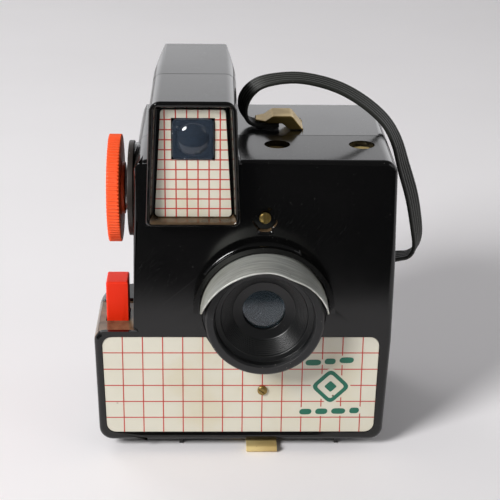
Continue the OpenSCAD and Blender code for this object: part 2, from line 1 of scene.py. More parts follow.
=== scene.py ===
import json
import math
import bmesh
import bpy
from mathutils import Matrix, Vector


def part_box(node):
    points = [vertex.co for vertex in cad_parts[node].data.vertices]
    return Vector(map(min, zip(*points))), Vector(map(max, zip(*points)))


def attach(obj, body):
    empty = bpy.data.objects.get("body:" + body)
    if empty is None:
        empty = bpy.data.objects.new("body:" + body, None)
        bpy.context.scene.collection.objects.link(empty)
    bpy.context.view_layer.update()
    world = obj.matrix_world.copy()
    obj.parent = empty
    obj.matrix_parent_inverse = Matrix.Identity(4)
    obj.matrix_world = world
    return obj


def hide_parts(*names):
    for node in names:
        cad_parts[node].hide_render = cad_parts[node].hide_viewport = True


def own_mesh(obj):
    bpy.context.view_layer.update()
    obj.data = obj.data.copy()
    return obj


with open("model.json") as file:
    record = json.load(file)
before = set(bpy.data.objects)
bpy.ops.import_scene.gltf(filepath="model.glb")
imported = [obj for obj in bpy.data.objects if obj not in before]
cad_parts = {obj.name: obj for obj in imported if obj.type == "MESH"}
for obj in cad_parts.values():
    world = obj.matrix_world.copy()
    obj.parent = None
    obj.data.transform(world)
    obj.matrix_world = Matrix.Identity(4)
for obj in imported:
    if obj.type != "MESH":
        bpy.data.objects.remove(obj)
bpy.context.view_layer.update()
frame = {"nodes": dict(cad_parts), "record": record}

mm = 0.001
barrelLow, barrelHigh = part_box("lens_barrel")
lensX = (barrelLow.x + barrelHigh.x) / 2
lensZ = (barrelLow.z + barrelHigh.z) / 2
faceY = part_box("lower_face_plate")[0].y - 0.2 * mm
bodyOf = {node: body for body, nodes in frame["record"]["behaviour"]["bodies"].items() for node in nodes}


def at(x, y, z):  # millimetres from the lens axis, back from the face and up from the table
    return Vector((lensX + x * mm, faceY + y * mm, z * mm))


def tint(red, green, blue):  # display colour, 0 to 255, to the linear colour that sockets take
    shares = [part / 255 for part in (red, green, blue)]
    return [((c + 0.055) / 1.055) ** 2.4 if c > 0.0405 else c / 12.92 for c in shares] + [1]


# --- nodes, shared by materials and trees

def add(tree, kind, sockets=None, **settings):
    made = tree.nodes.new(kind)
    for name, value in settings.items():
        setattr(made, name, value)
    for name, value in (sockets or {}).items():
        if isinstance(value, bpy.types.NodeSocket):
            tree.links.new(value, made.inputs[name])
        else:
            made.inputs[name].default_value = value
    return made


def sums(tree, operation, first, second=0.0):
    return add(tree, "ShaderNodeMath", {0: first, 1: second}, operation=operation).outputs[0]


def times(tree, first, second):
    return sums(tree, "MULTIPLY", first, second)


def band(tree, value, low, high, start=0.0, end=1.0):  # soft step from start to end between two values
    return add(tree, "ShaderNodeMapRange", {0: value, 1: low, 2: high, 3: start, 4: end},
               interpolation_type="SMOOTHSTEP").outputs[0]


def blendColour(tree, factor, first, second):
    return add(tree, "ShaderNodeMix", {0: factor, 6: first, 7: second}, data_type="RGBA").outputs[2]


def blendValue(tree, factor, first, second):
    return add(tree, "ShaderNodeMix", {0: factor, 2: first, 3: second}, data_type="FLOAT").outputs[0]


def noise(tree, coords, scale, detail=4.0, stretch=(1, 1, 1)):
    spread = add(tree, "ShaderNodeMapping", {"Vector": coords, "Scale": stretch})
    sockets = {"Vector": spread.outputs[0], "Scale": scale, "Detail": detail}
    return add(tree, "ShaderNodeTexNoise", sockets).outputs[0]


def startGroup(name, inputs, outputs):
    group = bpy.data.node_groups.new(name, "ShaderNodeTree")
    kind = "NodeSocketFloat"
    for label, value in inputs.items():
        group.interface.new_socket(label, in_out="INPUT", socket_type=kind).default_value = value
    for label in outputs:
        group.interface.new_socket(label, in_out="OUTPUT", socket_type=kind)
    return group, add(group, "NodeGroupInput"), add(group, "NodeGroupOutput")


def dustGroup():  # specks, cloudy smears and hairline scratches on object coordinates
    group, source, sink = startGroup("dustAndHairlines", {"Speck Size": 900.0, "Speck Share": 0.08},
                                     ["Specks", "Smears", "Hairlines", "Grain"])
    coords = add(group, "ShaderNodeTexCoord").outputs["Object"]
    cells = add(group, "ShaderNodeTexVoronoi", {"Vector": coords, "Scale": source.outputs[0]})
    chance = add(group, "ShaderNodeSeparateColor", {0: cells.outputs["Color"]})
    chosen = sums(group, "LESS_THAN", chance.outputs[0], source.outputs[1])
    size = times(group, chance.outputs[1], 0.32)
    dots = sums(group, "LESS_THAN", cells.outputs["Distance"], size)
    patches = band(group, noise(group, coords, 60.0), 0.35, 0.6)
    specks = times(group, times(group, dots, chosen), patches)
    group.links.new(specks, sink.inputs["Specks"])
    group.links.new(noise(group, coords, 38.0, 6.0), sink.inputs["Smears"])
    tilted = add(group, "ShaderNodeMapping", {"Vector": coords, "Rotation": (0.4, 0.9, 0.3)}).outputs[0]
    hair = sums(group, "ABSOLUTE", sums(group, "SUBTRACT", noise(group, tilted, 60.0, 2.0, (1, 9, 9)), 0.5))
    thin = band(group, hair, 0.0, 0.004, 1.0, 0.0)
    some = band(group, noise(group, coords, 45.0, 2.0), 0.5, 0.62)
    group.links.new(times(group, thin, some), sink.inputs["Hairlines"])
    group.links.new(noise(group, coords, 2600.0, 2.0), sink.inputs["Grain"])
    return group


def edgeGroup():  # how much a spot stands on a rim, worn unevenly
    group, source, sink = startGroup("rimWear", {"Reach": 0.0005, "Amount": 0.5}, ["Worn"])
    rounded = add(group, "ShaderNodeBevel", {"Radius": source.outputs[0]}, samples=4).outputs[0]
    straight = add(group, "ShaderNodeNewGeometry").outputs["Normal"]
    same = add(group, "ShaderNodeVectorMath", {0: rounded, 1: straight}, operation="DOT_PRODUCT")
    edge = band(group, same.outputs["Value"], 0.99, 0.86, 0.0, 1.0)
    coords = add(group, "ShaderNodeTexCoord").outputs["Object"]
    uneven = band(group, noise(group, coords, 380.0, 5.0), 0.42, 0.62)
    worn = times(group, times(group, edge, uneven), source.outputs["Amount"])
    group.links.new(worn, sink.inputs["Worn"])
    return group


dust = dustGroup()
rims = edgeGroup()

usual = {"wander": 0.25, "rough": 0.4, "roughWander": 0.12, "metallic": 0.0, "specks": 0.05,
         "speckSize": 1800.0, "speckColour": tint(150, 146, 138), "wear": 0.3,
         "wearColour": tint(120, 112, 100), "reach": 0.0004, "bump": 0.02, "hairlines": 0.35, "brush": None,
         "darkLine": [0.02, 0.02, 0.02, 1]}  # what a finish has unless its own settings say otherwise


# One painted, moulded or metal finish: the colour wanders, rims wear to another colour, specks and hairlines
# lie on top, and roughness and bump follow them.
def finish(name, look, extra=None):
    look = {**usual, "second": [c * 0.6 for c in look["colour"][:3]] + [1], **look}
    made = bpy.data.materials.new(name)
    made.use_nodes = True
    tree = made.node_tree
    tree.nodes.clear()
    coords = add(tree, "ShaderNodeTexCoord").outputs["Object"]
    dirt = add(tree, "ShaderNodeGroup", node_tree=dust)
    dirt.inputs["Speck Size"].default_value = look["speckSize"]
    dirt.inputs["Speck Share"].default_value = look["specks"]
    worn = add(tree, "ShaderNodeGroup", node_tree=rims)
    worn.inputs["Reach"].default_value = look["reach"]
    worn.inputs["Amount"].default_value = look["wear"]
    shade = band(tree, dirt.outputs["Smears"], 0.3, 0.7, 0.0, look["wander"])
    colour = blendColour(tree, shade, look["colour"], look["second"])
    if look["brush"]:
        lines = noise(tree, coords, look["brush"][0], 3.0, look["brush"][1])
        colour = blendColour(tree, band(tree, lines, 0.3, 0.7, 0.0, 0.35), colour, look["darkLine"])
    if extra:
        colour = extra(tree, coords, colour)
    colour = blendColour(tree, worn.outputs[0], colour, look["wearColour"])
    colour = blendColour(tree, dirt.outputs["Specks"], colour, look["speckColour"])
    roughest = look["rough"] + look["roughWander"]
    rough = band(tree, dirt.outputs["Smears"], 0.25, 0.75, look["rough"], roughest)
    rough = sums(tree, "ADD", rough, times(tree, dirt.outputs["Hairlines"], look["hairlines"]))
    rough = sums(tree, "ADD", rough, times(tree, dirt.outputs["Specks"], 0.4))
    height = sums(tree, "ADD", times(tree, dirt.outputs["Grain"], 0.5), dirt.outputs["Specks"])
    height = sums(tree, "SUBTRACT", height, times(tree, dirt.outputs["Hairlines"], 0.6))
    if look["brush"]:
        height = sums(tree, "ADD", height, times(tree, lines, 1.2))
    raised = add(tree, "ShaderNodeBump", {"Strength": 0.35, "Distance": look["bump"] * mm, "Height": height})
    shader = add(tree, "ShaderNodeBsdfPrincipled", {"Base Color": colour, "Roughness": rough,
                 "Metallic": look["metallic"], "Normal": raised.outputs[0]})
    for socket, value in look.get("sockets", {}).items():
        shader.inputs[socket].default_value = value
    add(tree, "ShaderNodeOutputMaterial", {"Surface": shader.outputs[0]})
    return made


def settledDust(tree, coords, colour):  # brown dust where the mesh says so
    zone = add(tree, "ShaderNodeAttribute", attribute_name="dusty").outputs["Fac"]
    broken = band(tree, noise(tree, coords, 300.0, 6.0), 0.3, 0.62, 0.55, 1.0)
    brown = blendColour(tree, noise(tree, coords, 120.0, 3.0), tint(92, 74, 50), tint(150, 122, 92))
    return blendColour(tree, times(tree, zone, broken), colour, brown)


def yellowed(tree, coords, colour):  # enamel, a little yellow in cloudy patches
    cloud = band(tree, noise(tree, coords, 70.0, 5.0), 0.45, 0.75, 0.0, 0.5)
    return blendColour(tree, cloud, colour, tint(208, 197, 165))


blackMoulding = finish("blackMoulding", {"colour": tint(7, 7, 7), "second": tint(14, 13, 12), "rough": 0.09,
    "roughWander": 0.1, "specks": 0.05, "speckSize": 2400.0, "speckColour": tint(70, 69, 66), "wear": 0.12,
    "wearColour": tint(84, 76, 66), "bump": 0.006, "hairlines": 0.25}, settledDust)
innerBlack = finish("innerBlack", {"colour": tint(22, 22, 23), "rough": 0.5, "specks": 0.03, "wear": 0.1})
creamEnamel = finish("creamEnamel", {"colour": tint(216, 212, 196), "second": tint(204, 197, 178),
    "rough": 0.3, "roughWander": 0.12, "specks": 0.012, "speckSize": 700.0,
    "speckColour": tint(120, 104, 84), "wear": 0.35, "wearColour": tint(170, 150, 118), "reach": 0.00025,
    "bump": 0.008}, yellowed)
redPrint = finish("redPrint", {"colour": tint(196, 50, 38), "second": tint(170, 52, 40), "wander": 0.6,
    "rough": 0.35, "specks": 0.02, "wear": 0.1, "wearColour": tint(214, 150, 130)})
greenPrint = finish("greenPrint", {"colour": tint(30, 112, 88), "second": tint(22, 92, 74), "wander": 0.6,
    "rough": 0.35, "specks": 0.02, "wear": 0.1, "wearColour": tint(96, 150, 130)})
barrelSatin = finish("barrelSatin", {"colour": tint(32, 32, 33), "second": tint(20, 20, 21), "rough": 0.36,
    "roughWander": 0.14, "specks": 0.05, "wear": 0.2, "wearColour": tint(90, 88, 84), "bump": 0.01})
visorSheet = finish("visorSheet", {"colour": tint(236, 238, 232), "second": tint(168, 168, 154),
    "wander": 0.9, "rough": 0.42, "roughWander": 0.2, "metallic": 0.6, "specks": 0.03,
    "speckColour": tint(90, 84, 70), "wear": 0.5, "wearColour": tint(232, 232, 228), "reach": 0.0003,
    "bump": 0.02, "brush": (90.0, (1, 22, 1))})
oldBrass = finish("oldBrass", {"colour": tint(196, 170, 104), "second": tint(112, 88, 46), "wander": 0.9,
    "rough": 0.26, "roughWander": 0.25, "metallic": 1.0, "specks": 0.06, "speckColour": tint(70, 56, 34),
    "wear": 0.6, "wearColour": tint(232, 214, 160), "reach": 0.0003, "bump": 0.015})
cupBrass = finish("cupBrass", {"colour": tint(236, 214, 150), "second": tint(170, 140, 84), "wander": 0.8,
    "rough": 0.5, "metallic": 0.35, "specks": 0.08, "speckColour": tint(86, 70, 44), "wear": 0.4,
    "wearColour": tint(250, 240, 200)})
platedSteel = finish("platedSteel", {"colour": tint(214, 214, 214), "second": tint(150, 150, 148),
    "wander": 0.6, "rough": 0.2, "roughWander": 0.2, "metallic": 1.0, "wear": 0.4,
    "wearColour": tint(238, 238, 236), "brush": (160.0, (1, 14, 14))})
springSteel = finish("springSteel", {"colour": tint(156, 158, 160), "second": tint(96, 96, 96),
    "wander": 0.8, "rough": 0.3, "metallic": 1.0, "wear": 0.3, "wearColour": tint(205, 205, 205)})
darkSteel = finish("darkSteel", {"colour": tint(86, 88, 92), "second": tint(52, 52, 54), "wander": 0.7,
    "rough": 0.38, "metallic": 0.9, "wear": 0.5, "wearColour": tint(170, 170, 168)})
buttonRed = finish("buttonRed", {"colour": tint(240, 44, 4), "second": tint(226, 46, 10), "rough": 0.42,
    "roughWander": 0.15, "sockets": {"Specular IOR Level": 0.28}, "specks": 0.03,
    "speckColour": tint(120, 50, 36), "wear": 0.35, "wearColour": tint(246, 140, 100), "reach": 0.0005})
knobRed = finish("knobRed", {"colour": tint(255, 98, 44), "second": tint(240, 78, 34), "rough": 0.36,
    "roughWander": 0.15, "sockets": {"Specular IOR Level": 0.35}, "specks": 0.02,
    "speckColour": tint(150, 70, 50), "wear": 0.3, "wearColour": tint(246, 158, 124)})
ringDark = finish("ringDark", {"colour": tint(38, 33, 30), "second": tint(58, 48, 40), "rough": 0.35,
    "specks": 0.08})
baseEnamel = finish("baseEnamel", {"colour": tint(26, 26, 27), "second": tint(44, 42, 40), "rough": 0.4,
    "specks": 0.06, "wear": 0.5, "wearColour": tint(130, 126, 120)})
strapVinyl = finish("strapVinyl", {"colour": tint(34, 35, 31), "second": tint(48, 50, 44), "wander": 0.6,
    "rough": 0.42, "roughWander": 0.15, "specks": 0.05, "wear": 0.25, "wearColour": tint(92, 92, 84),
    "reach": 0.0003, "bump": 0.03})
throatBlack = finish("throatBlack", {"colour": tint(15, 16, 17), "second": tint(24, 23, 20), "rough": 0.26,
    "specks": 0.03, "speckColour": tint(84, 82, 78), "wear": 0.25, "wearColour": tint(110, 104, 92),
    "reach": 0.0002})
clearFinder = finish("clearFinder", {"colour": tint(92, 108, 128), "second": tint(80, 94, 112),
    "rough": 0.03, "roughWander": 0.03, "specks": 0.02, "speckSize": 1400.0,
    "speckColour": tint(225, 228, 230), "wear": 0.0, "bump": 0.004,
    "sockets": {"Transmission Weight": 0.8, "IOR": 1.49}})
lensGlass = finish("lensGlass", {"colour": tint(120, 136, 140), "second": tint(104, 122, 128),
    "rough": 0.02, "roughWander": 0.03, "specks": 0.015, "speckSize": 1600.0, "wear": 0.0, "bump": 0.001,
    "sockets": {"Transmission Weight": 0.9, "IOR": 1.6, "Coat Weight": 0.4,
                "Coat Tint": (0.75, 0.85, 1.0, 1.0)}})
windowRed = finish("windowRed", {"colour": tint(160, 20, 20), "second": tint(120, 12, 14), "rough": 0.12,
    "specks": 0.03, "wear": 0.0, "sockets": {"Transmission Weight": 0.6, "IOR": 1.5}})
print("materials made:", len(bpy.data.materials))


# --- meshes

def reshape(data, work):  # work changes a bmesh of data in place
    shape = bmesh.new()
    shape.from_mesh(data)
    work(shape)
    shape.to_mesh(data)
    shape.free()


def merged(shape, distance):
    bmesh.ops.remove_doubles(shape, verts=shape.verts, dist=distance)


def outward(shape):
    bmesh.ops.recalc_face_normals(shape, faces=shape.faces)


def flatJoined(shape, angle):  # faces in one plane become one face
    bmesh.ops.dissolve_limit(shape, angle_limit=math.radians(angle), verts=shape.verts, edges=shape.edges)


def newPiece(name, data=None):
    piece = bpy.data.objects.new(name, data or bpy.data.meshes.new(name))
    bpy.context.scene.collection.objects.link(piece)
    return piece


def meshPiece(name, points, faces):
    data = bpy.data.meshes.new(name)
    data.from_pydata([tuple(p) for p in points], [], faces)
    reshape(data, lambda shape: (merged(shape, 1e-7), outward(shape)))
    return newPiece(name, data)


def settle(piece):  # modifiers become plain mesh
    bpy.context.view_layer.update()
    graph = bpy.context.evaluated_depsgraph_get()
    data = bpy.data.meshes.new_from_object(piece.evaluated_get(graph), preserve_all_data_layers=True,
                                           depsgraph=graph)
    data.name = piece.name
    piece.modifiers.clear()
    piece.data = data
    return piece


def cadCopy(node, name):  # the node's own shape, with its flat faces whole again
    shape = bmesh.new()
    shape.from_mesh(frame["nodes"][node].data)
    merged(shape, 1e-6)
    flatJoined(shape, 0.4)
    data = bpy.data.meshes.new(name)
    shape.to_mesh(data)
    shape.free()
    return newPiece(name, data)


def roundEdges(piece, width, widths=None, angle=32, segments=3):  # widths gives each edge's share of width
    def weigh(shape):
        if widths:
            bmesh.ops.triangulate(shape, faces=shape.faces, ngon_method="BEAUTY")
        layer = shape.edges.layers.float.new("bevel_weight_edge")
        for edge in shape.edges:
            if edge.is_manifold and edge.is_convex and edge.calc_face_angle() > math.radians(angle):
                edge[layer] = widths(edge) if widths else 1.0

    reshape(piece.data, weigh)
    rounding = piece.modifiers.new("rounded", "BEVEL")
    rounding.limit_method = "WEIGHT"
    rounding.width = width
    rounding.segments = segments
    rounding.use_clamp_overlap = False
    rounding.loop_slide = True
    return settle(piece)


def shadeSmooth(piece, angle):  # edges sharper than the angle stay crisp
    for face in piece.data.polygons:
        face.use_smooth = True
    piece.data.set_sharp_from_angle(angle=math.radians(angle))


def smooth(piece, angle=40):
    shadeSmooth(piece, angle)
    even = piece.modifiers.new("even", "WEIGHTED_NORMAL")
    even.keep_sharp = True
    return settle(piece)


def trim(piece, like, material):  # detail that rides with a node without standing for it
    piece.data.materials.clear()
    piece.data.materials.append(material)
    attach(piece, bodyOf[like])
    return piece


def dress(piece, node, material):  # the piece stands for the node
    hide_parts(node)
    return trim(piece, node, material)


def refined(node, name, material, width=0.15, angle=32):  # the node's shape with broken edges
    return dress(smooth(roundEdges(cadCopy(node, name), width * mm, angle=angle)), node, material)


def turned(name, profile, centre, axis="Y", count=96):  # ring round an axis, points are (radius, along)
    points, faces = [], []
    for k in range(count):
        a = 2 * math.pi * k / count
        for r, t in profile:
            u, v = r * math.cos(a), r * math.sin(a)
            spot = {"X": (t, u, v), "Y": (u, t, v), "Z": (u, v, t)}[axis]
            points.append(Vector(centre) + Vector(spot) * mm)
    n = len(profile)
    for k in range(count):
        for i in range(n):
            j = (i + 1) % n
            faces.append([k * n + i, k * n + j, (k + 1) % count * n + j, (k + 1) % count * n + i])
    piece = meshPiece(name, points, faces)
    reshape(piece.data, lambda shape: (bmesh.ops.dissolve_degenerate(shape, dist=1e-7, edges=shape.edges),
                                       outward(shape)))
    return piece


def eased(points, radius, steps=3):  # closed outline with every corner turned by a small arc
    result = []
    n = len(points)
    for i in range(n):
        before, here, after = (Vector(points[(i + k) % n]) for k in (-1, 0, 1))
        room = min((before - here).length, (after - here).length) * 0.45
        reach = min(radius, room)
        if reach < 1e-6:
            result.append(tuple(here))
            continue
        start = here + (before - here).normalized() * reach
        end = here + (after - here).normalized() * reach
        for k in range(steps + 1):
            t = k / steps
            result.append(tuple(start * (1 - t) ** 2 + here * 2 * t * (1 - t) + end * t ** 2))
    return result


# --- trees

def startTree(name, inputs):
    tree = bpy.data.node_groups.new(name, "GeometryNodeTree")
    tree.interface.new_socket("Geometry", in_out="INPUT", socket_type="NodeSocketGeometry")
    for label, kind in inputs.items():
        tree.interface.new_socket(label, in_out="INPUT", socket_type="NodeSocket" + kind)
    tree.interface.new_socket("Material", in_out="INPUT", socket_type="NodeSocketMaterial")
    tree.interface.new_socket("Geometry", in_out="OUTPUT", socket_type="NodeSocketGeometry")
    return tree, add(tree, "NodeGroupInput"), add(tree, "NodeGroupOutput")


def endTree(tree, source, sink, geometry):
    whole = add(tree, "GeometryNodeRealizeInstances", {"Geometry": geometry})
    painted = add(tree, "GeometryNodeSetMaterial", {"Geometry": whole.outputs[0],
                  "Material": source.outputs["Material"]})
    tree.links.new(painted.outputs[0], sink.inputs[0])
    return tree


def grow(name, tree, values, data=None):  # the tree's result as plain mesh
    piece = newPiece(name, data)
    modifier = piece.modifiers.new(name, "NODES")
    modifier.node_group = tree
    for item in tree.interface.items_tree:
        if item.item_type == "SOCKET" and item.in_out == "INPUT" and item.name in values:
            modifier[item.identifier] = values[item.name]
    return settle(piece)


def vector(tree, x=0.0, y=0.0, z=0.0):
    return add(tree, "ShaderNodeCombineXYZ", {0: x, 1: y, 2: z}).outputs[0]


def stored(tree, name):  # a vector that the mesh brings along
    return add(tree, "GeometryNodeInputNamedAttribute", {"Name": name}, data_type="FLOAT_VECTOR").outputs[0]


def copiesTree():  # one shape on every spot of a mesh, turned and sized by the spot's own values
    tree, source, sink = startTree("copiesOnSpots", {"Copy": "Object"})
    shape = add(tree, "GeometryNodeObjectInfo", {"Object": source.outputs["Copy"]})
    placed = add(tree, "GeometryNodeInstanceOnPoints", {"Points": source.outputs["Geometry"],
                 "Instance": shape.outputs["Geometry"], "Rotation": stored(tree, "turn"),
                 "Scale": stored(tree, "size")})
    return endTree(tree, source, sink, placed.outputs[0])


copiesOnSpots = copiesTree()


def copies(name, original, spots, material):  # spots are (place, turn, size)
    data = bpy.data.meshes.new(name)
    data.from_pydata([tuple(spot[0]) for spot in spots], [], [])
    for label, column in (("turn", 1), ("size", 2)):
        values = data.attributes.new(label, "FLOAT_VECTOR", "POINT")
        for spot, item in zip(spots, values.data):
            item.vector = spot[column]
    piece = grow(name, copiesOnSpots, {"Copy": original, "Material": material}, data)
    bpy.data.objects.remove(original)
    shadeSmooth(piece, 40)
    return piece


# --- camera, light and table

view = {"place": (-15.61, -403.63, 225.67), "aim": -1.59, "tilt": 67.52, "roll": 0.74, "lens": 99.67}


def makeCamera():
    camera = bpy.data.objects.new("camera", bpy.data.cameras.new("camera"))
    bpy.context.scene.collection.objects.link(camera)
    camera.data.lens = view["lens"]
    camera.data.sensor_width = 36
    camera.data.clip_start = 0.01
    camera.location = Vector(view["place"]) * mm
    turns = [Matrix.Rotation(math.radians(view[name]), 4, axis) for name, axis in
             (("aim", "Z"), ("tilt", "X"), ("roll", "Z"))]
    camera.rotation_euler = (turns[0] @ turns[1] @ turns[2]).to_euler()
    bpy.context.scene.camera = camera


light = {"lamps": {"key": ((-0.85, -0.8, 0.8), 0.5, 18.6), "fill": ((0.8, -0.5, 0.6), 0.6, 0.8),
                   "rear": ((-0.6, 0.7, 0.75), 0.5, 1.6)},
         "aimedAt": (0, 0, 0.05), "skyFront": 0.1, "skyBack": 0.9, "skyLow": 1.5, "skyTop": 0.12}


def makeLight():
    for name, (place, size, power) in light["lamps"].items():
        lamp = bpy.data.objects.new(name, bpy.data.lights.new(name, "AREA"))
        bpy.context.scene.collection.objects.link(lamp)
        lamp.data.shape = "DISK"
        lamp.data.size = size
        lamp.data.energy = power
        lamp.location = place
        way = Vector(light["aimedAt"]) - Vector(place)
        lamp.rotation_euler = way.to_track_quat("-Z", "Y").to_euler()
    world = bpy.data.worlds.new("room")
    bpy.context.scene.world = world
    world.use_nodes = True
    tree = world.node_tree
    tree.nodes.clear()
    way = add(tree, "ShaderNodeTexCoord").outputs["Generated"]
    parts = add(tree, "ShaderNodeSeparateXYZ", {0: way})
    wall = band(tree, parts.outputs[2], 0.12, 0.42, light["skyLow"], light["skyBack"])
    high = band(tree, parts.outputs[2], 0.5, 0.72)
    behind = blendValue(tree, high, wall, light["skyTop"])
    bright = blendValue(tree, band(tree, parts.outputs[1], -0.5, 0.4), light["skyFront"], behind)
    shine = add(tree, "ShaderNodeBackground", {"Color": tint(250, 250, 252), "Strength": bright})
    add(tree, "ShaderNodeOutputWorld", {"Surface": shine.outputs[0]})


table = {"half": 4.0, "colour": (252, 249, 250), "cloudy": (246, 243, 244), "edgeAhead": 0.115,
         "fade": 0.012, "paintedDarkReflection": [0.035, 0.037, 0.04, 1], "specular": 0.15}  # painted reflection: past edgeAhead the table shows a near-black colour to glossy rays only, a stand-in for the dark room in front, while direct views still see the pale table


def makeTable():
    half = table["half"]
    corners = [(-half, -half, 0), (half, -half, 0), (half, half, 0), (-half, half, 0)]
    floor = meshPiece("table", corners, [[0, 1, 2, 3]])
    made = bpy.data.materials.new("paleTable")
    made.use_nodes = True
    tree = made.node_tree
    tree.nodes.clear()
    coords = add(tree, "ShaderNodeTexCoord").outputs["Object"]
    parts = add(tree, "ShaderNodeSeparateXYZ", {0: coords})
    clouds = band(tree, noise(tree, coords, 6.0), 0.3, 0.7, 0.0, 0.5)
    cloud = blendColour(tree, clouds, tint(*table["colour"]), tint(*table["cloudy"]))
    edge, fade = faceY - table["edgeAhead"], table["fade"]
    ahead = band(tree, parts.outputs[1], edge - fade, edge + fade, 1.0, 0.0)
    # painted dark reflection: glossy rays see the table ahead as near black, camera rays see it pale
    paintedDarkReflection = add(tree, "ShaderNodeLightPath").outputs["Is Glossy Ray"]
    colour = blendColour(tree, times(tree, ahead, paintedDarkReflection), cloud, table["paintedDarkReflection"])
    shader = add(tree, "ShaderNodeBsdfPrincipled", {"Base Color": colour, "Roughness": 0.6})
    shader.inputs["Specular IOR Level"].default_value = table["specular"]
    add(tree, "ShaderNodeOutputMaterial", {"Surface": shader.outputs[0]})
    floor.data.materials.append(made)


makeCamera()
makeLight()
makeTable()
bpy.context.scene.view_settings.view_transform = "Standard"
print("camera, light and table ready")


# --- front moulding

shell = {"frontRound": 1.6, "towerRound": 0.9, "tower": 5.6, "rimAway": 20, "faceTop": 96.5, "ledge": 79.2,
         "trough": (-39.4, 37.5, 40.4), "sunkUp": 28.5, "sunkRadius": 4.2}


def makeShell():
    piece = cadCopy("front_shell", "front_moulding")
    towerY = faceY - shell["tower"] * mm

    def share(edge):  # full on the face's outer rim, less on the tower's frame, none elsewhere
        a, b = (v.co for v in edge.verts)
        middle = (a + b) / 2
        flat = abs(a.y - b.y) < 1e-5
        facing = max(abs(f.normal.y) for f in edge.link_faces) > 0.9
        side = min(edge.link_faces, key=lambda f: abs(f.normal.y)).normal
        rim = side.x * (middle.x - lensX) + side.z * (middle.z - lensZ) > shell["rimAway"] * mm
        if flat and facing and rim and abs(middle.y - faceY) < 1e-5 and middle.z < shell["faceTop"] * mm:
            return 1.0
        if flat and abs(middle.y - towerY) < 1e-5:
            return shell["towerRound"] / shell["frontRound"]
        return 0.0

    roundEdges(piece, shell["frontRound"] * mm, share, segments=4)
    reshape(piece.data, lambda shape: flatJoined(shape, 0.3))
    smooth(piece)
    dusty = piece.data.attributes.new("dusty", "FLOAT", "FACE")
    reach, foot, top = shell["trough"]
    for face in piece.data.polygons:
        across, back, up = (face.center - Vector((lensX, faceY, 0))) / mm
        trough = across < reach and foot < up < top and back > 1.2 and face.normal.y < 0.9
        ledge = face.normal.z > 0.3 and -1.2 < up - shell["ledge"] < 0.6 and back < 0
        away = math.hypot(across, up - lensZ / mm - shell["sunkUp"])
        sunk = face.normal.z > 0.35 and back > 0.05 and away < shell["sunkRadius"]
        dusty.data[face.index].value = 1.0 if trough else 0.45 if ledge else 0.5 if sunk else 0.0
    dress(piece, "front_shell", blackMoulding)


makeShell()
dress(smooth(roundEdges(cadCopy("rear_cover", "rear_moulding"), 0.45 * mm)), "rear_cover",
      blackMoulding)
print("mouldings made")


# --- face plates with their printed lines and the small ornament

ornament = {"x": 21.2, "z": 22.1, "half": 6.2, "thick": 1.25, "proud": 0.05,
            "topBars": [(15.6, 30.4, 2.4), (20.8, 30.8, 1.7), (25.9, 31.2, 2.2)],
            "lowBars": [(13.6, 13.2, 1.9), (18.6, 13.3, 1.9), (23.9, 13.4, 2.2), (28.9, 13.6, 1.5)],
            "barHigh": 1.0, "clear": 0.7}
lowerGrid = {"pitchX": 6.15, "pitchZ": 5.63, "countX": 13, "countZ": 5, "firstX": -43.1, "firstZ": 11.2,
             "line": 0.32, "front": 0.2, "proud": 0.035}
towerGrid = {"pitchX": 3.2, "pitchZ": 3.01, "countX": 6, "countZ": 10, "firstX": -29.4, "firstZ": 81.75,
             "line": 0.36, "front": -1.5, "proud": 0.035}


def flatPiece(name, outlines, y0, y1):  # printed shapes standing a hair off the plate
    points, faces = [], []
    for outer, inner in outlines:
        n = len(outer)
        base = len(points)
        rings = [(outer, y0), (outer, y1)] + ([(inner, y1), (inner, y0)] if inner else [])
        for ring, y in rings:
            points += [at(x, y, z) for x, z in ring]
        if inner:
            for r in range(4):
                a, b = base + r * n, base + (r + 1) % 4 * n
                faces += [[a + k, a + (k + 1) % n, b + (k + 1) % n, b + k] for k in range(n)]
        else:
            faces += [[base + k, base + (k + 1) % n, base + n + (k + 1) % n, base + n + k] for k in range(n)]
            faces += [[base + k for k in range(n)], [base + n + k for k in range(n)][::-1]]
    return meshPiece(name, points, faces)


def pill(x, z, half, high, lean=0.12):  # rounded dash, leaning a little
    return [(x + half * math.copysign(abs(math.cos(a)) ** 0.5, math.cos(a)) + lean * high * math.sin(a),
             z + high * math.sin(a)) for a in (2 * math.pi * k / 24 for k in range(24))]


def diamond(x, z, half, corner):
    return eased([(x, z + half), (x + half, z), (x, z - half), (x - half, z)], corner, 5)


def ornamentShapes(margin=0.0):
    x, z, half = ornament["x"], ornament["z"], ornament["half"]
    ring = diamond(x, z, half + margin * 1.4, 2.0 + margin)
    hole = None if margin else diamond(x, z, half - ornament["thick"] * 1.4, 1.0)
    shapes = [(ring, hole)]
    if not margin:
        shapes.append((diamond(x, z, 2.0, 0.5), None))
    for bar in ornament["topBars"] + ornament["lowBars"]:
        shapes.append((pill(bar[0], bar[1], bar[2] + margin, ornament["barHigh"] + margin), None))
    return shapes


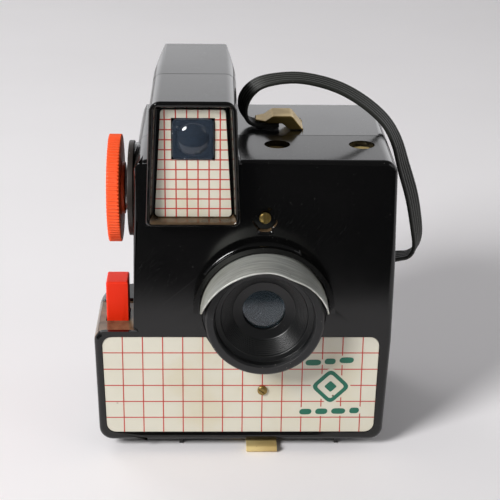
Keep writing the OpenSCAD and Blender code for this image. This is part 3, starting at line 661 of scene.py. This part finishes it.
def linesTree():
    tree, source, sink = startTree("printedLines", {"Pitch X": "Float", "Pitch Z": "Float", "Count X": "Int",
        "Count Z": "Int", "Corner": "Vector", "Line": "Float", "Deep": "Float", "Long": "Float",
        "Plate": "Object", "Clear": "Object"})
    value = source.outputs
    upright = add(tree, "GeometryNodeMeshLine", {"Count": value["Count X"], "Start Location": value["Corner"],
                  "Offset": vector(tree, x=value["Pitch X"])})
    level = add(tree, "GeometryNodeMeshLine", {"Count": value["Count Z"], "Start Location": value["Corner"],
                "Offset": vector(tree, z=value["Pitch Z"])})
    line, deep, long = value["Line"], value["Deep"], value["Long"]
    tall = add(tree, "GeometryNodeMeshCube", {"Size": vector(tree, line, deep, long)})
    wide = add(tree, "GeometryNodeMeshCube", {"Size": vector(tree, long, deep, line)})
    both = add(tree, "GeometryNodeJoinGeometry")
    for spots, strip in ((upright, tall), (level, wide)):
        placed = add(tree, "GeometryNodeInstanceOnPoints", {"Points": spots.outputs[0],
                     "Instance": strip.outputs[0]})
        tree.links.new(placed.outputs[0], both.inputs[0])
    strips = add(tree, "GeometryNodeRealizeInstances", {"Geometry": both.outputs[0]})
    plate = add(tree, "GeometryNodeObjectInfo", {"Object": value["Plate"]})
    inside = add(tree, "GeometryNodeMeshBoolean", operation="INTERSECT", solver="EXACT")
    inside.inputs["Self Intersection"].default_value = True
    tree.links.new(strips.outputs[0], inside.inputs[1])
    tree.links.new(plate.outputs["Geometry"], inside.inputs[1])
    clear = add(tree, "GeometryNodeObjectInfo", {"Object": value["Clear"]})
    parted = add(tree, "GeometryNodeMeshBoolean", operation="DIFFERENCE", solver="EXACT")
    parted.inputs["Self Intersection"].default_value = True
    tree.links.new(inside.outputs[0], parted.inputs[0])
    tree.links.new(clear.outputs["Geometry"], parted.inputs[1])
    return endTree(tree, source, sink, parted.outputs[0])


printedLines = linesTree()


def makeLines(name, node, grid, clear):
    plate = cadCopy(node, name + "_shape")
    for corner in plate.data.vertices:
        corner.co.y -= grid["proud"] * mm
    middle = at(grid["firstX"], grid["front"], grid["firstZ"])
    piece = grow(name, printedLines, {"Pitch X": grid["pitchX"] * mm, "Pitch Z": grid["pitchZ"] * mm,
        "Count X": grid["countX"], "Count Z": grid["countZ"], "Corner": tuple(middle),
        "Line": grid["line"] * mm, "Deep": 0.3 * mm, "Long": 240 * mm, "Plate": plate, "Clear": clear,
        "Material": redPrint})
    bpy.data.objects.remove(plate)
    return trim(piece, node, redPrint)


def makePlates():
    clear = flatPiece("clear_zone", ornamentShapes(ornament["clear"]), -1, 2)
    nowhere = flatPiece("no_zone", [(pill(0, -60, 1, 1), None)], -1, 2)
    makeLines("lower_lines", "lower_face_plate", lowerGrid, clear)
    makeLines("finder_lines", "finder_face_plate", towerGrid, nowhere)
    bpy.data.objects.remove(clear)
    bpy.data.objects.remove(nowhere)
    front = lowerGrid["front"]
    mark = flatPiece("ornament", ornamentShapes(), front - ornament["proud"], front + 0.1)
    trim(mark, "lower_face_plate", greenPrint)
    refined("lower_face_plate", "lower_plate", creamEnamel, 0.12)
    refined("finder_face_plate", "finder_plate", creamEnamel, 0.12)


makePlates()
print("plates made")


# --- finder lens, a clear square with a round bulge and a soft rim

finder = {"x": -21.2, "z": 103, "half": 6.15, "rim": -2.3, "back": -0.78, "bulge": 4.7, "top": -3.55,
          "groove": 0.45, "grooveDeep": 0.25, "edge": 0.5, "edgeDrop": 0.75, "steps": 56}


def makeFinderLens():
    steps, bulge, rim = finder["steps"], finder["bulge"], finder["rim"]
    low = rim + finder["grooveDeep"]
    points, faces = [], []
    for j in range(steps + 1):
        for i in range(steps + 1):
            u, v = 2 * i / steps - 1, 2 * j / steps - 1
            pull = 1 - 0.045 * (u * v) ** 6 * 2  # draws the corners in a little
            x, z = u * finder["half"] * pull, v * finder["half"] * pull
            r = math.hypot(x, z)
            away = finder["half"] - max(abs(x), abs(z))
            y = rim + finder["edgeDrop"] * max(0.0, 1 - away / finder["edge"]) ** 2
            if r < bulge:
                y = low + (finder["top"] - low) * (1 - (r / bulge) ** 2) ** 0.8
            elif r < bulge + finder["groove"]:
                y = rim + finder["grooveDeep"] * (1 - (r - bulge) / finder["groove"])
            points.append(at(finder["x"] + x, y, finder["z"] + z))
    row = steps + 1
    faces += [[j * row + i, j * row + i + 1, (j + 1) * row + i + 1, (j + 1) * row + i]
              for j in range(steps) for i in range(steps)]
    border = ([i for i in range(row)] + [j * row + steps for j in range(1, row)]
              + [steps * row + i for i in range(steps - 1, -1, -1)]
              + [j * row for j in range(steps - 1, 0, -1)])
    start = len(points)
    for k in border:
        spot = points[k].copy()
        spot.y = faceY + finder["back"] * mm
        points.append(spot)
    n = len(border)
    faces += [[border[k], start + k, start + (k + 1) % n, border[(k + 1) % n]] for k in range(n)]
    faces.append([start + k for k in range(n)])
    piece = meshPiece("finder_lens", points, faces)
    dress(smooth(piece, 50), "finder_front_lens", clearFinder)


makeFinderLens()
refined("finder_eye_lens", "eye_lens", clearFinder, 0.3)


# --- barrel with its ribbed throat, visor and lens

barrel = {"front": 10.7, "outer": 17.7, "ribs": 9, "ribFrom": (12.9, -7.3), "ribTo": (9.3, -3.0), "land": 0.7,
          "throat": 14.75}
visor = {"inner": 18.78, "outer": 19.27, "sweepZ": 17.6, "sweepR": 18.0, "dent": 0.9, "dentAt": 66,
         "dentWide": 11, "wave": 0.05, "steps": (120, 18)}


def makeBarrel():
    out, front = barrel["outer"], -barrel["front"]
    shape = [(18.55, -0.05), (18.55, -3.35), (out + 0.12, -3.4), (out, front + 0.5), (out - 0.5, front),
             (15.3, front), (14.85, front + 0.9), (14.65, -8.0), (13.2, -7.7)]
    (r0, y0), (r1, y1) = barrel["ribFrom"], barrel["ribTo"]
    for i in range(barrel["ribs"]):
        t, later = i / barrel["ribs"], (i + barrel["land"]) / barrel["ribs"]
        r = r0 + (r1 - r0) * t
        shape += [(r, y0 + (y1 - y0) * t), (r - 0.02, y0 + (y1 - y0) * later)]
    shape += [(9.3, -2.9), (6.5, -2.45), (6.4, -1.45), (7.5, -1.4), (7.5, 3.95), (9.95, 3.95), (9.95, -0.05)]
    piece = smooth(turned("barrel", eased(shape, 0.09, 2), at(0, 0, lensZ / mm), count=128), 45)
    dress(piece, "lens_barrel", barrelSatin)
    piece.data.materials.append(throatBlack)
    for face in piece.data.polygons:
        spot = face.center
        if math.hypot(spot.x - lensX, spot.z - lensZ) < barrel["throat"] * mm:
            face.material_index = 1


def makeVisor():
    wide, deep = visor["steps"]
    points, faces = [], []
    for i in range(wide + 1):
        a = math.pi * i / wide
        rise = visor["outer"] * math.sin(a)
        reach = 0.5 + math.sqrt(max(0.0, visor["sweepR"] ** 2 - (rise - visor["sweepZ"]) ** 2))
        for j in range(deep + 1):
            t = j / deep
            near = math.exp(-((math.degrees(a) - visor["dentAt"]) / visor["dentWide"]) ** 2)
            dent = visor["dent"] * near * max(0, t - 0.35) ** 1.5
            for radius in (visor["outer"], visor["inner"]):
                r = radius - dent - visor["wave"] * math.sin(7 * a) * t
                points.append(at(r * math.cos(a), -0.15 - (reach - 0.15) * t, lensZ / mm + r * math.sin(a)))
    row = 2 * (deep + 1)
    for i in range(wide):
        for j in range(deep):
            for side in (0, 1):
                a, b = i * row + 2 * j + side, (i + 1) * row + 2 * j + side
                faces.append([a, b, b + 2, a + 2])
        for j in (0, deep):
            a, b = i * row + 2 * j, (i + 1) * row + 2 * j
            faces.append([a, a + 1, b + 1, b])
    for i in (0, wide):
        firsts = [i * row + 2 * j for j in range(deep)]
        faces += [[k, k + 1, k + 3, k + 2] for k in firsts]
    piece = meshPiece("visor", points, faces)
    roundEdges(piece, 0.14 * mm, angle=50)
    dress(smooth(piece, 50), "lens_brow", visorSheet)


def makeLens():
    shape = [(0, 1.1), (7.3, 1.1), (7.4, 1.0), (7.4, -1.1), (7.3, -1.2), (5.0, -1.24), (2.5, -1.27),
             (0, -1.28)]
    piece = smooth(turned("lens", shape, at(0, 0, lensZ / mm), count=96), 50)
    dress(piece, "meniscus_lens", lensGlass)


makeBarrel()
makeVisor()
makeLens()
refined("lens_retainer", "lens_ring", platedSteel, 0.12)
refined("aperture_plate", "aperture_disc", darkSteel, 0.1)
print("lens, barrel and visor made")


# --- slotted screws and rivets

screw = {"face": [(28.5, 0.12, 1.78, 82), (-28.5, -0.88, 1.53, 35)],  # up from the lens, back, radius, turn
         "baseInset": 2.2, "baseUp": 0.42, "slotDeep": 0.3}
rivet = {"radius": 1.68, "high": 0.45, "shank": 0.78, "long": 1.25, "inset": 1.7, "up": 0.46}


def dome(radius, high):
    turns = [math.radians(a) for a in range(0, 91, 15)]
    return [(radius * math.sin(a), -high * math.cos(a)) for a in turns]


def screwHead(name, radius, deep, long, shank, slotWide=0.28):
    under = deep * 0.55
    shape = dome(radius, deep * 0.45) + [(radius, under), (shank, under), (shank, long), (0, long)]
    head = turned(name, shape, (0, 0, 0), count=40)
    floor = screw["slotDeep"] - deep * 0.45
    corners = [(x, y, z) for x in (-radius * 2 * mm, radius * 2 * mm) for y in (-deep * mm, floor * mm)
               for z in (-slotWide * radius * mm, slotWide * radius * mm)]
    cutter = meshPiece(name + "_slot", corners,
                       [[0, 1, 3, 2], [4, 6, 7, 5], [0, 4, 5, 1], [2, 3, 7, 6], [0, 2, 6, 4], [1, 5, 7, 3]])
    cut = head.modifiers.new("slot", "BOOLEAN")
    cut.operation = "DIFFERENCE"
    cut.object = cutter
    settle(head)
    bpy.data.objects.remove(cutter)
    return head


def makeFaceScrews():
    head = screwHead("screw_form", 1.0, 0.62, 4.3, 0.6)
    spots = [(at(0, front + 0.28 * radius, lensZ / mm + rise), (0, math.radians(turn), 0), (radius,) * 3)
             for rise, front, radius, turn in screw["face"]]
    piece = copies("face_screws_brass", head, spots, oldBrass)
    dress(piece, "face_screws", oldBrass)


def makeBaseScrews():
    head = screwHead("base_screw_form", 2.15, 0.9, 5.0, 1.0, 0.13)
    low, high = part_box("base_screws")
    middle = (low.y + high.y) / 2
    spots = [(Vector((x, middle, low.z + screw["baseUp"] * mm)), (math.radians(90), 0, 0), (1, 1, 1))
             for x in (low.x + screw["baseInset"] * mm, high.x - screw["baseInset"] * mm)]
    piece = copies("base_screws_steel", head, spots, platedSteel)
    dress(piece, "base_screws", platedSteel)


def makeRivets():
    low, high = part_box("latch_rivets")
    radius, shank, long = rivet["radius"], rivet["shank"], rivet["long"]
    shape = dome(radius, rivet["high"]) + [(radius, 0.03), (shank, 0.03), (shank, long), (0, long)]
    form = turned("rivet_form", shape, (0, 0, 0), "Z", 36)
    x, z = (low.x + high.x) / 2, low.z + rivet["up"] * mm
    spots = [(Vector((x, y, z)), (0, 0, 0), (1, 1, 1))
             for y in (low.y + rivet["inset"] * mm, high.y - rivet["inset"] * mm)]
    piece = copies("latch_rivets_steel", form, spots, platedSteel)
    dress(piece, "latch_rivets", platedSteel)


makeFaceScrews()
makeBaseScrews()
makeRivets()
print("screws and rivets made")


# --- wind knob: turned body and fine ribs round its rim

knob = {"ribs": 90, "radius": 16.5, "rib": 0.3, "ribSides": 8, "outside": -47.2, "inside": -43.2, "ease": 0.3}


def ribsTree():
    tree, source, sink = startTree("rimRibs", {"Ribs": "Int", "Radius": "Float", "Rib": "Float",
                                               "Wide": "Float", "Centre": "Vector"})
    value = source.outputs
    ring = add(tree, "GeometryNodeMeshCircle", {"Vertices": value["Ribs"], "Radius": value["Radius"]})
    rib = add(tree, "GeometryNodeMeshCylinder", {"Vertices": knob["ribSides"], "Radius": value["Rib"],
              "Depth": value["Wide"]})
    placed = add(tree, "GeometryNodeInstanceOnPoints", {"Points": ring.outputs[0],
                 "Instance": rib.outputs[0]})
    upright = add(tree, "GeometryNodeTransform", {"Geometry": placed.outputs[0],
                  "Translation": value["Centre"], "Rotation": (0, math.radians(90), 0)})
    return endTree(tree, source, sink, upright.outputs[0])


def makeKnob():
    low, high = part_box("wind_knob")
    centre = Vector((lensX, (low.y + high.y) / 2, (low.z + high.z) / 2))
    rim = knob["radius"] - knob["rib"]
    shape = [(0, -46.62), (12.9, -46.62), (13.3, -47.15), (rim - 0.5, -47.15), (rim, -46.7), (rim, -43.7),
             (rim - 0.5, -43.25), (8, -43.25), (8, -42.25), (2.45, -42.25), (2.45, -45.55), (0, -45.55)]
    piece = smooth(turned("knob", eased(shape, knob["ease"], 3), centre, "X", 128), 45)
    dress(piece, "wind_knob", knobRed)
    wide = (knob["inside"] - knob["outside"] - 0.25) * mm
    middle = Vector((lensX + (knob["inside"] + knob["outside"]) / 2 * mm, centre.y, centre.z))
    ribs = grow("knob_ribs", ribsTree(), {"Ribs": knob["ribs"], "Radius": rim * mm, "Rib": knob["rib"] * mm,
        "Wide": wide, "Centre": tuple(middle), "Material": knobRed})
    roundEdges(ribs, 0.09 * mm, angle=60, segments=2)
    trim(smooth(ribs, 60), "wind_knob", knobRed)


makeKnob()
refined("knob_base", "knob_ring", ringDark, 0.3)
refined("knob_washer", "knob_washer_plate", platedSteel, 0.15)
refined("wind_shaft", "wind_shaft_steel", platedSteel, 0.12)
refined("clutch_spring", "clutch_clip", springSteel, 0.06)
refined("release_button", "button", buttonRed, 0.55)
refined("release_rod", "button_rod", platedSteel, 0.15)
print("knob and button made")


# --- coil spring under the button

spring = {"turns": 6.0, "radius": 2.6, "wire": 0.31, "high": 10.8, "foot": 22.6, "press": 5.0}


def springTree():
    tree, source, sink = startTree("coilSpring", {"Turns": "Float", "Radius": "Float", "Wire": "Float",
                                                  "High": "Float", "Foot": "Vector"})
    value = source.outputs
    coil = add(tree, "GeometryNodeCurveSpiral", {"Resolution": 32, "Rotations": value["Turns"],
               "Start Radius": value["Radius"], "End Radius": value["Radius"], "Height": value["High"]})
    wire = add(tree, "GeometryNodeCurvePrimitiveCircle", {"Resolution": 12, "Radius": value["Wire"]})
    solid = add(tree, "GeometryNodeCurveToMesh", {"Curve": coil.outputs[0],
                "Profile Curve": wire.outputs[0], "Fill Caps": True})
    moved = add(tree, "GeometryNodeTransform", {"Geometry": solid.outputs[0], "Translation": value["Foot"]})
    return endTree(tree, source, sink, moved.outputs[0])


def makeSpring():
    low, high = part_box("release_spring")
    foot = Vector(((low.x + high.x) / 2, (low.y + high.y) / 2, spring["foot"] * mm))
    piece = grow("button_spring", springTree(), {"Turns": spring["turns"], "Radius": spring["radius"] * mm,
        "Wire": spring["wire"] * mm, "High": spring["high"] * mm, "Foot": tuple(foot),
        "Material": springSteel})
    dress(smooth(piece, 50), "release_spring", springSteel)
    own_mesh(piece)


makeSpring()


# --- strap: ribbed vinyl swept along its route, with a slow twist on its way down the side

strap = {"wide": 6.75, "thick": 1.36, "ribs": 5, "ribSteps": 6, "bendSteps": 5, "middleY": 34.5,
         "route": [(5, 96.9, 0), (1, 96.9, 0), (-2, 96.9, 0), (-4.8, 98.1, 6), (-6.2, 101, 16),
                   (-5.9, 104.4, 22), (-3.9, 107.6, 20), (-0.3, 110, 14), (6, 111.3, 10), (12.5, 111.3, 10),
                   (20.2, 109.6, 12), (26.8, 106.8, 15), (33.3, 102.5, 18), (38.8, 97.2, 21),
                   (42.4, 90.8, 27), (45, 82.6, 33), (48.2, 72.5, 35), (50.2, 62.5, 33), (50.7, 57.4, 26),
                   (49.9, 54.2, 16), (47.8, 52.3, 6), (44.6, 51.8, 0), (41.8, 51, 0), (40.5, 48.4, 0),
                   (40.4, 44.5, 0), (40.4, 41.3, 0)]}  # across, up and turn in degrees


def strapTree():
    tree, source, sink = startTree("ribbedStrap", {"Profile": "Object"})
    line = add(tree, "GeometryNodeMeshToCurve", {"Mesh": source.outputs["Geometry"]})
    side = stored(tree, "side")
    held = add(tree, "GeometryNodeSetCurveNormal", {"Curve": line.outputs[0], "Normal": side}, mode="FREE")
    form = add(tree, "GeometryNodeObjectInfo", {"Object": source.outputs["Profile"]})
    edge = add(tree, "GeometryNodeMeshToCurve", {"Mesh": form.outputs["Geometry"]})
    solid = add(tree, "GeometryNodeCurveToMesh", {"Curve": held.outputs[0],
                "Profile Curve": edge.outputs[0], "Fill Caps": True})
    return endTree(tree, source, sink, solid.outputs[0])


def strapProfile():  # flat band with round ribs on both faces
    half, thick, ribs = strap["wide"] / 2, strap["thick"] / 2, strap["ribs"]
    top = []
    steps = ribs * strap["ribSteps"]
    for k in range(steps + 1):
        u = -half + 2 * half * k / steps
        wave = abs(math.sin(math.pi * ribs * k / steps))
        top.append((u, thick * (0.62 + 0.38 * wave ** 0.6)))
    outline = top + [(x, -y) for x, y in reversed(top)]
    data = bpy.data.meshes.new("strap_profile")
    n = len(outline)
    data.from_pydata([(x * mm, y * mm, 0) for x, y in outline], [(k, (k + 1) % n) for k in range(n)], [])
    return newPiece("strap_profile", data)


def bend(points, i, t):  # smooth line through the points
    a, b, c, d = (Vector(points[min(max(i + k, 0), len(points) - 1)]) for k in (-1, 0, 1, 2))
    square, cube = 2 * a - 5 * b + 4 * c - d, 3 * b - a - 3 * c + d
    return 0.5 * (2 * b + (c - a) * t + square * t * t + cube * t * t * t)


def makeStrap():
    route = strap["route"]
    steps = strap["bendSteps"]
    line = [bend(route, i, k / steps) for i in range(len(route) - 1) for k in range(steps)]
    line.append(Vector(route[-1]))
    data = bpy.data.meshes.new("strap_line")
    data.from_pydata([tuple(at(p[0], strap["middleY"], p[1])) for p in line],
                     [(k, k + 1) for k in range(len(line) - 1)], [])
    side = data.attributes.new("side", "FLOAT_VECTOR", "POINT")
    for k, p in enumerate(line):
        a, b = line[max(k - 1, 0)], line[min(k + 1, len(line) - 1)]
        way = Vector((b[0] - a[0], b[1] - a[1])).normalized()
        out, turn = Vector((-way[1], 0, way[0])), math.radians(p[2])
        side.data[k].vector = math.cos(turn) * Vector((0, 1, 0)) + math.sin(turn) * out
    profile = strapProfile()
    piece = grow("strap_vinyl", strapTree(), {"Profile": profile, "Material": strapVinyl}, data)
    bpy.data.objects.remove(profile)
    reshape(piece.data, outward)
    shadeSmooth(piece, 55)
    dress(piece, "strap", strapVinyl)


makeStrap()
clip = smooth(roundEdges(cadCopy("strap_clip", "clip"), 0.3 * mm, angle=50), 50)
dress(clip, "strap_clip", oldBrass)
refined("strap_anchor", "anchor", oldBrass, 0.15)
refined("strap_rivet", "anchor_rivet", oldBrass, 0.3)
print("strap made")


# --- everything else keeps its shape, with broken edges and its own finish

others = [("flash_sockets", "socket_cups", "brass", cupBrass, 0.15),
          ("flash_strips", "strips", "brass", oldBrass, 0.08),
          ("bottom_latch", "latch_tab", "brass", cupBrass, 0.2),
          ("base_plate", "foot_plate", "base_black", baseEnamel, 0.15),
          ("shutter_base_plate", "shutter_plate", "bright_steel", platedSteel, 0.1),
          ("shutter_pivots", "pivots", "brass", oldBrass, 0.1),
          ("shutter_blade", "blade", "dark_steel", darkSteel, 0.06),
          ("trip_lever", "lever", "bright_steel", platedSteel, 0.1),
          ("shutter_spring", "lever_spring", "spring_steel", springSteel, 0.05),
          ("film_carrier", "carrier", "inner_black", innerBlack, 0.2),
          ("spool_pivots", "spool_pins", "bright_steel", platedSteel, 0.12),
          ("take_up_spool", "spool_upper", "dark_steel", darkSteel, 0.12),
          ("supply_spool", "spool_lower", "dark_steel", darkSteel, 0.12),
          ("film_roller_upper", "roller_top", "bright_steel", platedSteel, 0.15),
          ("film_roller_lower", "roller_bottom", "bright_steel", platedSteel, 0.15),
          ("pressure_plate", "film_presser", "dark_steel", darkSteel, 0.15),
          ("pressure_springs", "presser_leaves", "spring_steel", springSteel, 0.05),
          ("red_window", "counter_window", "window_red", windowRed, 0.15)]
for node, name, slot, material, width in others:
    refined(node, name, material, width)
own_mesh(bpy.data.objects["presser_leaves"])
print("inner pieces made")
